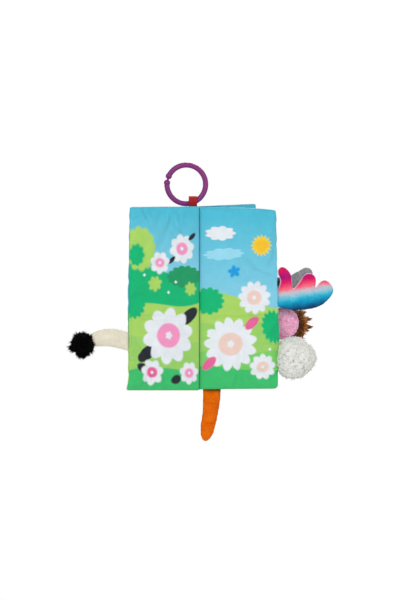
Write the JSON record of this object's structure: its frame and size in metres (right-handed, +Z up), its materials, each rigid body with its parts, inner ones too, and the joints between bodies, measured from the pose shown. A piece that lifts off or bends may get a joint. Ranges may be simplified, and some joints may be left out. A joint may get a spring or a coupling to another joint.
{
  "type": "hanging cloth book",
  "caption": "Padded cloth picture book that hangs open from a plastic ring, with stuffed and furry tails sewn into the edges of its leaves",
  "frame": {"origin": "centre of the hanging ring", "axes": "+Z up as the book hangs, +X to the reader's right, -Y towards the reader"},
  "size_m": [0.3058, 0.2008, 0.323],
  "materials": {
    "ring_plastic": "satin moulded purple plastic",
    "ribbon": "ribbed woven ribbon, dark red",
    "binding_cloth": "plain woven cloth, sky blue",
    "printed_cloth": "smooth printed polyester cloth, sky blue over greens",
    "cream_plush": "short cream plush",
    "black_fur": "shaggy black fur",
    "crest_satin": "satin, magenta through pale lavender to teal",
    "white_wool": "curly white wool pile",
    "pink_fleece": "curly pink fleece",
    "orange_velour": "orange velour",
    "brown_fur": "shaggy brown fur",
    "grey_plush": "short grey plush",
    "charcoal_plush": "short near-black plush"
  },
  "bodies": {
    "ring": {"hanging_ring": "ring_plastic"},
    "pages": {"spine_binding": "binding_cloth", "inner_pages": "printed_cloth", "ribbon_strap": "ribbon", "crest_tail": "crest_satin", "wool_tail": "white_wool", "fleece_tail": "pink_fleece", "flame_tail": "orange_velour", "mane_tail": "brown_fur", "grey_tail": "grey_plush"},
    "front_cover": {"front_cover": "printed_cloth", "cream_tail": "cream_plush", "fur_tuft": "black_fur"},
    "back_cover": {"back_cover": "printed_cloth", "charcoal_tail": "charcoal_plush"}
  },
  "joints": [
    {"name": "book_swing", "type": "hinge", "parent": "ring", "child": "pages", "pos_m": [0.0076, 0, -0.01993], "axis": [1, 0, 0], "range_deg": [-75, 75]},
    {"name": "front_cover_hinge", "type": "hinge", "parent": "pages", "child": "front_cover", "pos_m": [0.01464, -0.01324, 0], "axis": [0, 0, 1], "range_deg": [-20, 152]},
    {"name": "back_cover_hinge", "type": "hinge", "parent": "pages", "child": "back_cover", "pos_m": [0.00525, 0.00441, 0], "axis": [0, 0, 1], "range_deg": [0, 80]}
  ]
}
